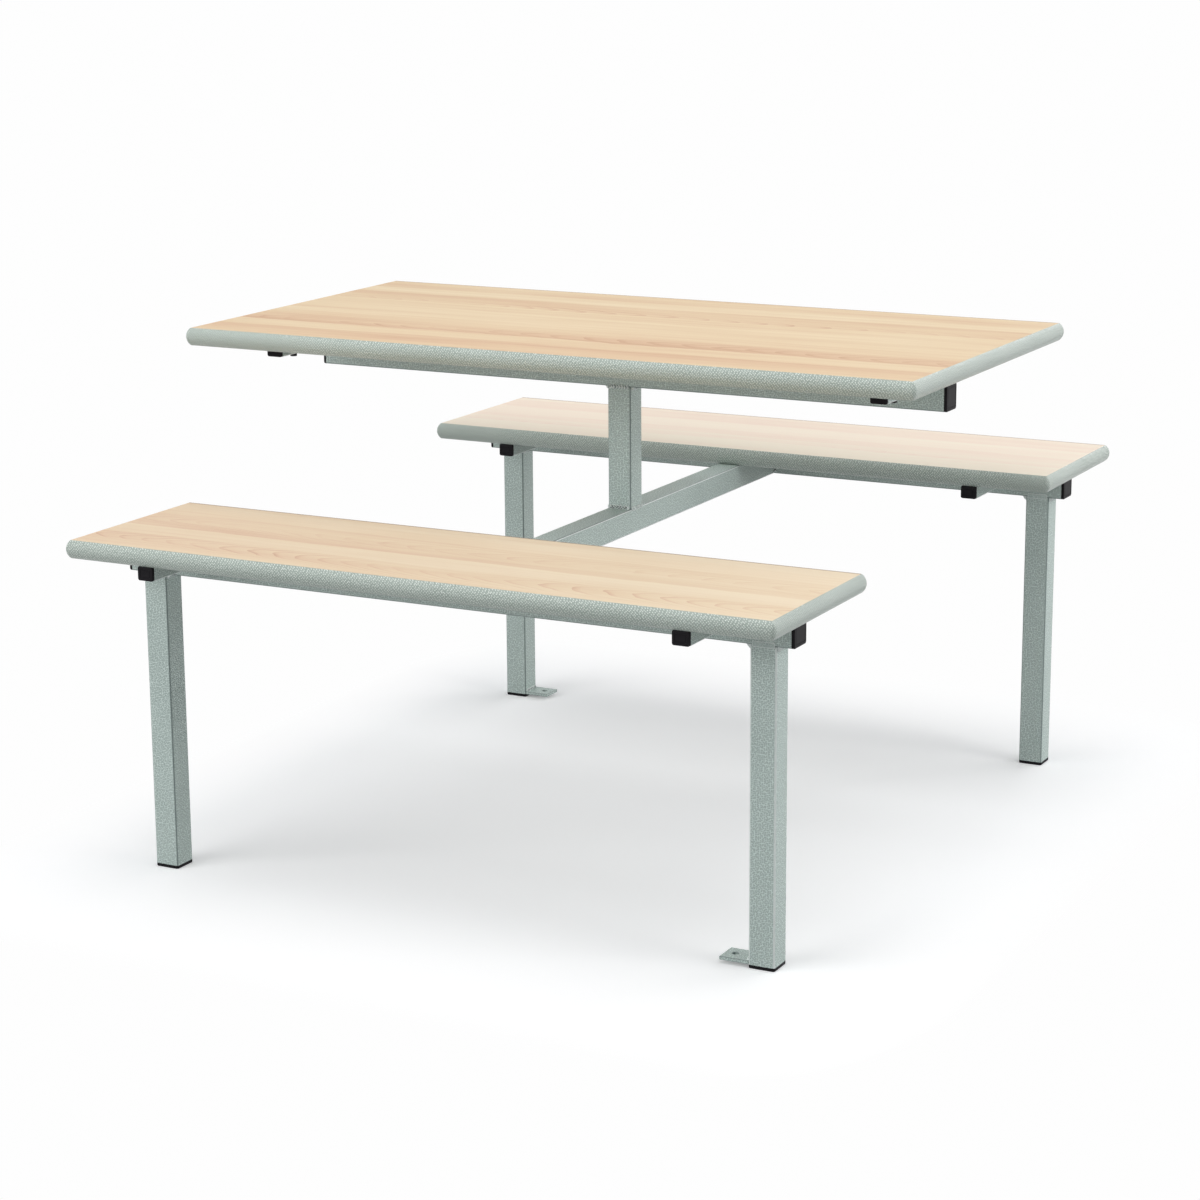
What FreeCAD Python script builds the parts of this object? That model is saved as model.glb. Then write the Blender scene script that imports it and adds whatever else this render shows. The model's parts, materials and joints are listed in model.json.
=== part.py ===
import FreeCAD, Part
import os

os.makedirs("parts", exist_ok=True)

# Canteen table with two fixed benches, on one welded steel frame.
# X runs along the table, Y across it towards the back bench, and Z up.
# The origin is on the floor, under the middle of the table. All sizes are millimetres.

Vec = FreeCAD.Vector
X = Vec(1, 0, 0)
Y = Vec(0, 1, 0)
Z = Vec(0, 0, 1)

# ---------------------------------------------------------------- driving dimensions

# Heights above the floor, and where the benches stand
table_height = 750.0
seat_height = 503.0
bench_centre_y = 509.0           # middle of the table to the middle of a bench

# Boards, inside their edging
table_board_length = 1144.0
table_board_depth = 586.0
bench_board_length = 1068.0
bench_board_depth = 286.0

# Layers of every board, from the top down
laminate_thickness = 0.8
core_thickness = 24.8
backing_thickness = 0.4

# Plastic edging: a bulging nose outside the board and a tongue in a groove of the core
edging_nose = 7.0
tongue_depth = 8.0
tongue_thickness = 2.2
tongue_side_clearance = 0.1
tongue_end_clearance = 1.0

# Square tube of the legs, rails, post and beam
tube_size = 38.0
tube_wall = 2.0
tube_inner_corner = 1.0

# Smaller tube of the arms that carry the boards
arm_width = 25.0
table_arm_height = 25.0
bench_arm_height = 20.0
arm_wall = 1.5
arm_inner_corner = 0.5

# Where the tubes of the frame end and stand, under the boards
table_rail_setback = 60.0        # end of the board to the end of the rail's tube
bench_rail_setback = 22.0
rail_outset = 14.5               # the bench rail lies this far outside the bench's middle
leg_from_rail_end = 39.0         # end of the rail's tube to the middle of the leg
table_arm_from_rail_end = 25.0
bench_arm_from_rail_end = 103.0
table_arm_setback = 96.5         # edge of the board to the end of the arm's tube
bench_arm_setback = 3.5

# Plastic tube plugs and leg feet
plug_flange = 4.5
plug_stem = 16.0
foot_flange = 5.0
foot_stem = 22.0
insert_wall = 2.0                # wall of the hollow stems
stem_clearance = 0.15            # between a stem and the tube around it
flange_edge_radius = 1.2

# Floor-fixing tabs
tab_length = 42.0
tab_thickness = 5.0
tab_hole_radius = 4.5
tab_hole_from_leg = 27.0

# Hexagon flange bolts that hold the table board, and the nuts let into it
bolt_radius = 3.0
bolt_length = 40.0
bolt_head_across_flats = 10.0
bolt_head_height = 4.4
bolt_flange_radius = 6.5
bolt_flange_height = 1.4
bolt_from_arm_end = 48.5
bolt_clearance = 0.5
nut_radius = 5.0
nut_length = 14.0
nut_clearance = 0.1
nut_hole_end_clearance = 1.0

# Pan-head screws that hold the bench boards
screw_radius = 2.5
screw_length = 32.0
screw_head_radius = 4.5
screw_head_height = 2.8
screw_from_arm_end = 25.0
screw_clearance = 0.25
screw_pilot_clearance = 0.1
screw_tip_clearance = 1.0

# Welds
leg_weld = 7.0                   # side of the fillet under a bench rail
post_weld = 5.0
beam_weld = 4.0
arm_weld = 3.0
tab_weld = 4.0
seam_weld_radius = 2.2           # round bead over a seam between two flush faces

# ---------------------------------------------------------------- what follows from them

top_thickness = laminate_thickness + core_thickness + backing_thickness
tube_corner = tube_inner_corner + tube_wall
arm_corner = arm_inner_corner + arm_wall
half_tube = tube_size / 2

seat_underside = seat_height - top_thickness
bench_rail_bottom = seat_underside - tube_size
bench_rail_z = seat_underside - half_tube
bench_rail_y = bench_centre_y + rail_outset
bench_arm_z = seat_underside - bench_arm_height / 2

table_underside = table_height - top_thickness
table_arm_bottom = table_underside - table_arm_height
table_arm_z = table_underside - table_arm_height / 2
table_rail_z = table_arm_bottom - half_tube
table_rail_bottom = table_arm_bottom - tube_size

table_rail_length = table_board_length - 2 * table_rail_setback
bench_rail_length = bench_board_length - 2 * bench_rail_setback
leg_x = bench_rail_length / 2 - leg_from_rail_end
table_arm_x = table_rail_length / 2 - table_arm_from_rail_end
bench_arm_x = bench_rail_length / 2 - bench_arm_from_rail_end
table_arm_reach = table_board_depth / 2 - table_arm_setback
bench_arm_reach = bench_board_depth / 2 - bench_arm_setback
bolt_y = table_arm_reach - bolt_from_arm_end
bench_screw_reach = bench_arm_reach - screw_from_arm_end

post_height = table_rail_bottom - seat_underside
beam_length = 2 * (bench_rail_y - half_tube)
flat_width = tube_size - 2 * tube_corner    # of a face of the main tube, between its corners

sides = {"front": -1, "back": 1}
hands = {"left": -1, "right": 1}


# ---------------------------------------------------------------- shapes used again

def box(centre, size):
    """Plain box around a centre point."""
    return Part.makeBox(size.x, size.y, size.z, centre - size * 0.5)


def rounded_bar(centre, size, axis, corner):
    """Box around a centre point, with its four edges along axis rounded."""
    block = box(centre, size)
    along = [edge for edge in block.Edges if abs(edge.tangentAt(0).dot(axis)) > 0.5]
    return block.makeFillet(corner, along)


def tube(centre, size, axis, wall, inner_corner):
    """Rectangular tube along axis, open at both ends."""
    walls = (X + Y + Z - axis) * (2 * wall)
    outer = rounded_bar(centre, size, axis, inner_corner + wall)
    inner = rounded_bar(centre, size - walls, axis, inner_corner)
    return outer.cut(inner)


def frame_tube(centre, length, axis):
    """Length of the main square tube."""
    across = (X + Y + Z - axis) * tube_size
    return tube(centre, across + axis * length, axis, tube_wall, tube_inner_corner)


def cylinder(base, radius, height):
    """Upright cylinder on a base point."""
    return Part.makeCylinder(radius, height, base, Z)


def prism(points, sweep):
    """Straight prism from a polygon."""
    face = Part.Face(Part.makePolygon(points + points[:1]))
    return face.extrude(sweep)


def fillet_weld(corner, first, second, run):
    """Three-sided weld along run, centred on corner, with its legs along first and second."""
    start = corner - run * 0.5
    return prism([start, start + first, start + second], run)


def seam_weld(middle, run, metal):
    """Round bead along a seam between two flush faces, less the metal that it joins."""
    bead = Part.makeCylinder(seam_weld_radius, run.Length, middle - run * 0.5, run)
    return bead.cut(metal)


def tube_insert(mouth, outward, size, wall, corner, flange, stem):
    """Plastic insert: a flange over the tube's end and a hollow stem inside the tube."""
    across = X + Y + Z - Vec(abs(outward.x), abs(outward.y), abs(outward.z))
    along = X + Y + Z - across
    cap = rounded_bar(mouth + outward * (flange / 2), size + along * flange, outward, corner)
    outer_face = max(cap.Faces, key=lambda face: face.CenterOfMass.dot(outward))
    cap = cap.makeFillet(flange_edge_radius, outer_face.Edges)
    stem_size = size - across * (2 * (wall + stem_clearance)) + along * stem
    stem_middle = mouth - outward * (stem / 2)
    body = rounded_bar(stem_middle, stem_size, outward, corner - wall)
    hollow = box(stem_middle, stem_size - across * (2 * insert_wall))
    return cap.fuse(body.cut(hollow)).removeSplitter()


def save(node, *solids):
    """Write one node, which holds one solid or a group of separate ones."""
    shape = solids[0] if len(solids) == 1 else Part.makeCompound(list(solids))
    shape.exportStep("parts/" + node + ".step")


# ---------------------------------------------------------------- boards and edging

def sheet(length, depth, thickness, centre_y, bottom):
    """One flat layer of a board."""
    return box(Vec(0, centre_y, bottom + thickness / 2), Vec(length, depth, thickness))


def grooves(length, depth, centre_y, middle_z):
    """The slots in a core's four edges that take the edging's tongue."""
    reach = tongue_depth + tongue_end_clearance
    height = tongue_thickness + 2 * tongue_side_clearance
    cuts = []
    for sign in (-1, 1):
        long_centre = Vec(0, centre_y + sign * (depth - reach) / 2, middle_z)
        end_centre = Vec(sign * (length - reach) / 2, centre_y, middle_z)
        cuts.append(box(long_centre, Vec(length, reach, height)))
        cuts.append(box(end_centre, Vec(reach, depth, height)))
    return cuts


def edging_strip(run, distance, middle_z):
    """Edging along the -Y edge of a board centred on the origin, mitred at both ends."""
    half = top_thickness / 2
    tongue = tongue_thickness / 2
    top = Vec(0, -distance, middle_z + half)
    nose = Vec(0, -distance - edging_nose, middle_z)
    bottom = Vec(0, -distance, middle_z - half)
    tongue_points = [bottom, Vec(0, -distance, middle_z - tongue)]
    tongue_points.append(Vec(0, -distance + tongue_depth, middle_z - tongue))
    tongue_points.append(Vec(0, -distance + tongue_depth, middle_z + tongue))
    tongue_points += [Vec(0, -distance, middle_z + tongue), top]
    edges = [Part.Arc(top, nose, bottom).toShape()]
    edges += [Part.makeLine(a, b) for a, b in zip(tongue_points, tongue_points[1:])]
    profile = Part.Face(Part.Wire(edges))
    outer = run / 2 + edging_nose
    inner = run / 2 - tongue_depth
    profile.translate(X * -outer)
    strip = profile.extrude(X * (2 * outer))
    far = -distance - edging_nose
    near = -distance + tongue_depth
    low = middle_z - half
    plan = [Vec(-outer, far, low), Vec(outer, far, low), Vec(inner, near, low), Vec(-inner, near, low)]
    return strip.common(prism(plan, Z * top_thickness))


def build_top(name, length, depth, centre_y, top_z, holes_backing, holes_core):
    """A board's three layers and its four strips of edging, with the holes for its fixings."""
    underside = top_z - top_thickness
    core_bottom = underside + backing_thickness
    middle_z = top_z - top_thickness / 2
    core = sheet(length, depth, core_thickness, centre_y, core_bottom)
    backing = sheet(length, depth, backing_thickness, centre_y, underside)
    laminate = sheet(length, depth, laminate_thickness, centre_y, top_z - laminate_thickness)
    save(name + "_laminate", laminate)
    save(name + "_core_board", core.cut(grooves(length, depth, centre_y, middle_z) + holes_core))
    save(name + "_backing_sheet", backing.cut(holes_backing))
    turns = {"front": 0, "right": 90, "back": 180, "left": 270}
    for edge, angle in turns.items():
        along_x = edge in ("front", "back")
        run = length if along_x else depth
        distance = depth / 2 if along_x else length / 2
        strip = edging_strip(run, distance, middle_z)
        strip.rotate(Vec(0, 0, 0), Z, angle)
        strip.translate(Y * centre_y)
        save(name + "_edging_" + edge, strip)


# ---------------------------------------------------------------- table fixings

def bolt_places():
    """Where the table's four bolts stand, on the underside of its arms."""
    places = []
    for hand in (-1, 1):
        for side in (-1, 1):
            places.append(Vec(hand * table_arm_x, side * bolt_y, table_arm_bottom))
    return places


def bolt(place):
    """Hexagon flange bolt, driven up through an arm."""
    head_bottom = place - Z * (bolt_flange_height + bolt_head_height)
    head_radius = bolt_head_across_flats / 3 ** 0.5
    corners = []
    for step in range(6):
        spin = FreeCAD.Rotation(Z, 60 * step)
        corners.append(head_bottom + spin.multVec(X * head_radius))
    head = prism(corners, Z * bolt_head_height)
    flange = cylinder(place - Z * bolt_flange_height, bolt_flange_radius, bolt_flange_height)
    shank = cylinder(place, bolt_radius, bolt_length)
    return head.fuse([flange, shank]).removeSplitter()


def insert_nut(place):
    """Threaded sleeve let into the board over a bolt."""
    base = Vec(place.x, place.y, table_underside + backing_thickness)
    sleeve = cylinder(base, nut_radius, nut_length)
    return sleeve.cut(cylinder(base, bolt_radius + nut_clearance, nut_length))


def nut_hole(place):
    """Blind hole in the core for an insert nut and the end of its bolt."""
    base = Vec(place.x, place.y, table_underside + backing_thickness)
    tip = place.z + bolt_length
    depth = max(nut_length, tip - base.z) + nut_hole_end_clearance
    return cylinder(base, nut_radius + nut_clearance, depth)


def bolt_hole(place, bottom, height):
    """Clearance hole for a bolt through what lies above a given height."""
    return cylinder(Vec(place.x, place.y, bottom), bolt_radius + bolt_clearance, height)


# ---------------------------------------------------------------- bench fixings

def screw_places(side):
    """Where one bench's four screws stand, on the underside of its arms."""
    places = []
    for hand in (-1, 1):
        for way in (-1, 1):
            y = side * (bench_centre_y + way * bench_screw_reach)
            places.append(Vec(hand * bench_arm_x, y, seat_underside - bench_arm_height))
    return places


def screw(place):
    """Pan-head screw, driven up through an arm."""
    head = cylinder(place - Z * screw_head_height, screw_head_radius, screw_head_height)
    rim = min(head.Faces, key=lambda face: face.CenterOfMass.z)
    head = head.makeFillet(screw_head_height / 2, rim.Edges)
    return head.fuse(cylinder(place, screw_radius, screw_length)).removeSplitter()


def screw_hole(place, bottom, height, clearance):
    """Round hole for a screw from a given height upwards."""
    return cylinder(Vec(place.x, place.y, bottom), screw_radius + clearance, height)


def screw_pilot(place):
    """Blind hole in the core for the end of a screw."""
    bottom = seat_underside + backing_thickness
    depth = place.z + screw_length + screw_tip_clearance - bottom
    return screw_hole(place, bottom, depth, screw_pilot_clearance)


# ---------------------------------------------------------------- table frame

def rail_plugs(centre, length):
    """The two plugs in the ends of a rail."""
    section = Vec(0, tube_size, tube_size)
    plugs = []
    for hand in (-1, 1):
        mouth = centre + X * (hand * length / 2)
        plugs.append(tube_insert(mouth, X * hand, section, tube_wall, tube_corner, plug_flange, plug_stem))
    return plugs


def table_arm(hand):
    """Tube across the top of the table rail, drilled for its two bolts."""
    centre = Vec(hand * table_arm_x, 0, table_arm_z)
    size = Vec(arm_width, 2 * table_arm_reach, table_arm_height)
    arm = tube(centre, size, Y, arm_wall, arm_inner_corner)
    holes = [bolt_hole(p, table_arm_bottom, table_arm_height) for p in bolt_places() if p.x * hand > 0]
    return arm.cut(holes)


def table_arm_plugs():
    """The plugs in both ends of both table arms."""
    section = Vec(arm_width, 0, table_arm_height)
    plugs = []
    for hand in (-1, 1):
        for side in (-1, 1):
            mouth = Vec(hand * table_arm_x, side * table_arm_reach, table_arm_z)
            plugs.append(tube_insert(mouth, Y * side, section, arm_wall, arm_corner, plug_flange, plug_stem))
    return plugs


def post_outline():
    """The post as a filled bar, for trimming the welds at its ends."""
    centre = Vec(0, 0, seat_underside + post_height / 2)
    return rounded_bar(centre, Vec(tube_size, tube_size, post_height), Z, tube_corner)


def arm_foot_weld(hand, way):
    """Weld between one rounded lower edge of a table arm and the flat top of its rail."""
    x = hand * table_arm_x + way * arm_width / 2
    y = -flat_width / 2
    under = Vec(x - way * arm_corner, y, table_arm_bottom)
    toe = Vec(x + way * arm_weld, y, table_arm_bottom)
    top = Vec(x, y, table_arm_bottom + arm_corner + arm_weld)
    size = Vec(arm_width, 2 * table_arm_reach, table_arm_height)
    arm = rounded_bar(Vec(hand * table_arm_x, 0, table_arm_z), size, Y, arm_corner)
    return prism([under, toe, top], Y * flat_width).cut(arm)


def table_frame_welds():
    """Welds that join the arms to the table rail, and the rail to the post."""
    rail_size = Vec(table_rail_length, tube_size, tube_size)
    rail = rounded_bar(Vec(0, 0, table_rail_z), rail_size, X, tube_corner)
    welds = []
    for sign in (-1, 1):
        welds += [arm_foot_weld(sign, -1), arm_foot_weld(sign, 1)]
        corner = Vec(sign * half_tube, 0, table_rail_bottom)
        welds.append(fillet_weld(corner, X * (sign * post_weld), Z * -post_weld, Y * flat_width))
        seam = Vec(0, sign * half_tube, table_rail_bottom)
        welds.append(seam_weld(seam, X * flat_width, [post_outline(), rail]))
    return welds


# ---------------------------------------------------------------- post and beam

def centre_post():
    """Upright tube that carries the table rail."""
    return frame_tube(Vec(0, 0, seat_underside + post_height / 2), post_height, Z)


def centre_beam():
    """Tube from one bench rail to the other, which carries the post."""
    return frame_tube(Vec(0, 0, bench_rail_z), beam_length, Y)


def centre_beam_welds():
    """Welds at the foot of the post and at both ends of the beam."""
    beam_size = Vec(tube_size, beam_length, tube_size)
    beam = rounded_bar(Vec(0, 0, bench_rail_z), beam_size, Y, tube_corner)
    welds = []
    for sign in (-1, 1):
        corner = Vec(0, sign * half_tube, seat_underside)
        welds.append(fillet_weld(corner, Y * (sign * post_weld), Z * post_weld, X * flat_width))
        seam = Vec(sign * half_tube, 0, seat_underside)
        welds.append(seam_weld(seam, Y * flat_width, [post_outline(), beam]))
        for side in (-1, 1):
            end = Vec(sign * half_tube, side * beam_length / 2, bench_rail_z)
            out = X * (sign * beam_weld)
            welds.append(fillet_weld(end, out, Y * (-side * beam_weld), Z * flat_width))
    return welds


# ---------------------------------------------------------------- benches

def bench_arm_span(side, way):
    """Where a bench arm starts, at its rail, and where its free end is, along Y."""
    start = side * (bench_rail_y + way * half_tube)
    end = side * (bench_centre_y + way * bench_arm_reach)
    return start, end


def bench_arm(side, hand, way):
    """Short tube from the side of a bench rail, drilled for its screw; way is 1 outside it."""
    start, end = bench_arm_span(side, way)
    centre = Vec(hand * bench_arm_x, (start + end) / 2, bench_arm_z)
    size = Vec(arm_width, abs(end - start), bench_arm_height)
    arm = tube(centre, size, Y, arm_wall, arm_inner_corner)
    places = [p for p in screw_places(side) if p.x * hand > 0]
    bottom = seat_underside - bench_arm_height
    return arm.cut([screw_hole(p, bottom, bench_arm_height, screw_clearance) for p in places])


def bench_arm_plugs(side):
    """The plugs in the free ends of a bench's four arms."""
    section = Vec(arm_width, 0, bench_arm_height)
    plugs = []
    for hand in (-1, 1):
        for way in (-1, 1):
            end = bench_arm_span(side, way)[1]
            mouth = Vec(hand * bench_arm_x, end, bench_arm_z)
            outward = Y * (side * way)
            plugs.append(tube_insert(mouth, outward, section, arm_wall, arm_corner, plug_flange, plug_stem))
    return plugs


def leg(side, hand):
    """Upright tube under a bench rail, standing on its foot."""
    length = bench_rail_bottom - foot_flange
    centre = Vec(hand * leg_x, side * bench_rail_y, foot_flange + length / 2)
    return frame_tube(centre, length, Z)


def foot(side, hand):
    """Plastic foot pushed into the bottom of a leg."""
    mouth = Vec(hand * leg_x, side * bench_rail_y, foot_flange)
    section = Vec(tube_size, tube_size, 0)
    return tube_insert(mouth, -Z, section, tube_wall, tube_corner, foot_flange, foot_stem)


def bench_arm_welds(side, hand, way):
    """Welds on both sides and the underside of a bench arm, at its rail."""
    start = bench_arm_span(side, way)[0]
    out = Y * (side * way * arm_weld)
    x = hand * bench_arm_x
    upright = Z * (bench_arm_height - 2 * arm_corner)
    welds = []
    for sign in (-1, 1):
        corner = Vec(x + sign * arm_width / 2, start, bench_arm_z)
        welds.append(fillet_weld(corner, X * (sign * arm_weld), out, upright))
    below = Vec(x, start, bench_arm_z - bench_arm_height / 2)
    welds.append(fillet_weld(below, Z * -arm_weld, out, X * (arm_width - 2 * arm_corner)))
    return welds


def bench_welds(side):
    """Every weld on one bench: legs, arms and its floor tab."""
    welds = []
    for hand in (-1, 1):
        for way in (-1, 1):
            corner = Vec(hand * leg_x + way * half_tube, side * bench_rail_y, bench_rail_bottom)
            welds.append(fillet_weld(corner, X * (way * leg_weld), Z * -leg_weld, Y * flat_width))
            welds += bench_arm_welds(side, hand, way)
    root = Vec(tab_root_x(side), side * bench_rail_y, foot_flange + tab_thickness)
    welds.append(fillet_weld(root, X * (side * tab_weld), Z * tab_weld, Y * flat_width))
    return welds


# ---------------------------------------------------------------- floor tabs

def tab_root_x(side):
    """Inner face of the leg that has the tab: front right, and back left."""
    return -side * (leg_x - half_tube)


def floor_tab(side):
    """Flat plate welded to a leg, with one hole for a floor bolt."""
    root = tab_root_x(side)
    centre = Vec(root + side * tab_length / 2, side * bench_rail_y, foot_flange + tab_thickness / 2)
    plate = box(centre, Vec(tab_length, tube_size, tab_thickness))
    hole_base = Vec(root + side * tab_hole_from_leg, side * bench_rail_y, foot_flange)
    return plate.cut(cylinder(hole_base, tab_hole_radius, tab_thickness))


# ---------------------------------------------------------------- build

def build_table():
    """The table: its board, its frame, and what fixes them together."""
    places = bolt_places()
    backing_holes = [bolt_hole(p, table_underside, backing_thickness) for p in places]
    core_holes = [nut_hole(p) for p in places]
    build_top("table", table_board_length, table_board_depth, 0, table_height, backing_holes, core_holes)
    centre = Vec(0, 0, table_rail_z)
    save("table_rail", frame_tube(centre, table_rail_length, X))
    save("table_rail_plugs", *rail_plugs(centre, table_rail_length))
    for name, hand in hands.items():
        save("table_arm_" + name, table_arm(hand))
    save("table_arm_plugs", *table_arm_plugs())
    save("table_top_bolts", *[bolt(p) for p in places])
    save("table_top_insert_nuts", *[insert_nut(p) for p in places])
    save("table_frame_welds", *table_frame_welds())


def build_bench(name, side):
    """One bench: its board, rail, arms, legs and feet."""
    places = screw_places(side)
    backing_holes = []
    for place in places:
        backing_holes.append(screw_hole(place, seat_underside, backing_thickness, screw_clearance))
    core_holes = [screw_pilot(p) for p in places]
    y = side * bench_centre_y
    build_top(name, bench_board_length, bench_board_depth, y, seat_height, backing_holes, core_holes)
    centre = Vec(0, side * bench_rail_y, bench_rail_z)
    save(name + "_rail", frame_tube(centre, bench_rail_length, X))
    save(name + "_rail_plugs", *rail_plugs(centre, bench_rail_length))
    for hand_name, hand in hands.items():
        save(name + "_arm_" + hand_name + "_outer", bench_arm(side, hand, 1))
        save(name + "_arm_" + hand_name + "_inner", bench_arm(side, hand, -1))
        save(name + "_leg_" + hand_name, leg(side, hand))
        save(name + "_foot_" + hand_name, foot(side, hand))
    save(name + "_arm_plugs", *bench_arm_plugs(side))
    save(name + "_screws", *[screw(p) for p in places])
    save(name + "_welds", *bench_welds(side))


build_table()
save("centre_post", centre_post())
save("centre_beam", centre_beam())
save("centre_beam_welds", *centre_beam_welds())
for side_name, side_sign in sides.items():
    build_bench(side_name + "_bench", side_sign)
save("front_right_floor_tab", floor_tab(sides["front"]))
save("back_left_floor_tab", floor_tab(sides["back"]))
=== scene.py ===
import json
import math
import random

import bmesh
import bpy
from mathutils import Matrix, Vector, noise


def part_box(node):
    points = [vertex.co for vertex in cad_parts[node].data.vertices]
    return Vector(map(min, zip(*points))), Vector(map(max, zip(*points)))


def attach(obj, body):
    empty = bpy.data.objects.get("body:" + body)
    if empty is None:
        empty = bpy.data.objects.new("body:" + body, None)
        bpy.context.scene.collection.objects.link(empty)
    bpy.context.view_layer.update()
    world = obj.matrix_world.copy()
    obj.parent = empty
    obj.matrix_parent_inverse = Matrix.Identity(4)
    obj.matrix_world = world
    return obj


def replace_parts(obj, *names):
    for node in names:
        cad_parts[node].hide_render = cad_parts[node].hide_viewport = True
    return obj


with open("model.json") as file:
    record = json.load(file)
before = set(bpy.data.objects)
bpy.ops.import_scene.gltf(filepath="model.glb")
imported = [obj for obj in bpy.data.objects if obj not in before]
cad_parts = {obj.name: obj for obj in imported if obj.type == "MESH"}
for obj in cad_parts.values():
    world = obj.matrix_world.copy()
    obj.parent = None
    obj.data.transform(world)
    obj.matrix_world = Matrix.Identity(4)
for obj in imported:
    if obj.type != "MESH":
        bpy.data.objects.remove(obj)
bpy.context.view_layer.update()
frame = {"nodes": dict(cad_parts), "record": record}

nodes = frame["nodes"]


# ------------------------------------------------------------------------------------------
# Welded frame: rails, beam, post, legs and arms
# Square steel tube, welded into one piece and powder-coated in a silver-grey hammertone,
# which sets as a net of fine pale ridges with slightly darker pits between them.

class Wire:
    """A socket of a material's node tree. Sums on wires add Math nodes to the tree."""

    def __init__(self, tree, socket=None):
        self.tree = tree
        self.socket = socket

    def add(self, kind, inputs=(), output=0, stops=(), **settings):
        """Add a node, apply its settings, feed its inputs, and return one of its outputs."""
        node = self.tree.nodes.new("ShaderNode" + kind)
        for name, value in settings.items():
            setattr(node, name, value)
        for place, (position, tone) in enumerate(stops):
            ramp = node.color_ramp.elements
            stop = ramp[place] if place < 2 else ramp.new(position)
            stop.position = position
            stop.color = (*tone, 1.0)
        for name, value in dict(inputs).items():
            if isinstance(value, Wire):
                self.tree.links.new(value.socket, node.inputs[name])
            else:
                node.inputs[name].default_value = value
        outputs = node.outputs
        return Wire(self.tree, outputs[output] if outputs else None)

    def math(self, operation, second=0.0, first=None):
        """A Math node on this wire, or on another value in its place."""
        inputs = {0: self if first is None else first, 1: second}
        return self.add("Math", inputs, operation=operation)

    def clamp(self):
        """The same value kept between 0 and 1."""
        return self.add("Clamp", {"Value": self})

    def __add__(self, other):
        return self.math("ADD", other)

    def __sub__(self, other):
        return self.math("SUBTRACT", other)

    def __rsub__(self, other):
        return self.math("SUBTRACT", self, first=other)

    def __mul__(self, other):
        return self.math("MULTIPLY", other)

    __radd__ = __add__
    __rmul__ = __mul__


def screen(red, green, blue):
    """Linear colour from the 0 to 255 values of a screen."""
    shares = [value / 255 for value in (red, green, blue)]
    return tuple(s / 12.92 if s <= 0.04045 else ((s + 0.055) / 1.055) ** 2.4 for s in shares)


def mix(factor, first, second):
    """Mix two colours, either of which may be a wire."""
    pair = [c if isinstance(c, Wire) else (*c, 1.0) for c in (first, second)]
    inputs = {0: factor, 6: pair[0], 7: pair[1]}
    return factor.add("Mix", inputs, output=2, data_type="RGBA")


def new_finish(name):
    """An empty material, and a wire with the place on the object in metres."""
    material = bpy.data.materials.new(name)
    material.use_nodes = True
    material.node_tree.nodes.clear()
    return material, Wire(material.node_tree).add("TexCoord", output="Object")


def close_finish(material, base, roughness, normal, metallic=0.0, specular=0.5):
    """Join colour, roughness and normal to the material's surface."""
    start = Wire(material.node_tree)
    inputs = {"Base Color": base, "Roughness": roughness, "Normal": normal}
    inputs.update({"Metallic": metallic, "Specular IOR Level": specular})
    surface = start.add("BsdfPrincipled", inputs)
    start.add("OutputMaterial", {"Surface": surface})
    return material


def cells(place, length, width, height):
    """Coordinates that count a pattern's cells of a given size in metres."""
    scale = (1 / length, 1 / width, 1 / height)
    return place.add("Mapping", {"Vector": place, "Scale": scale})


def cloud(where, detail=3.0, rough=0.5):
    """Soft noise, from 0 to 1 about a middle of 0.5."""
    inputs = {"Vector": where, "Scale": 1.0, "Detail": detail, "Roughness": rough}
    return where.add("TexNoise", inputs, output="Fac")


def bump(height, metres):
    """Normal of a surface whose height runs from 0 to a few tenths of a millimetre."""
    return height.add("Bump", {"Height": height, "Distance": metres})


def axes(vector):
    """The three parts of a vector as wires."""
    return [vector.add("SeparateXYZ", {"Vector": vector}, output=axis) for axis in "XYZ"]


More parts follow.
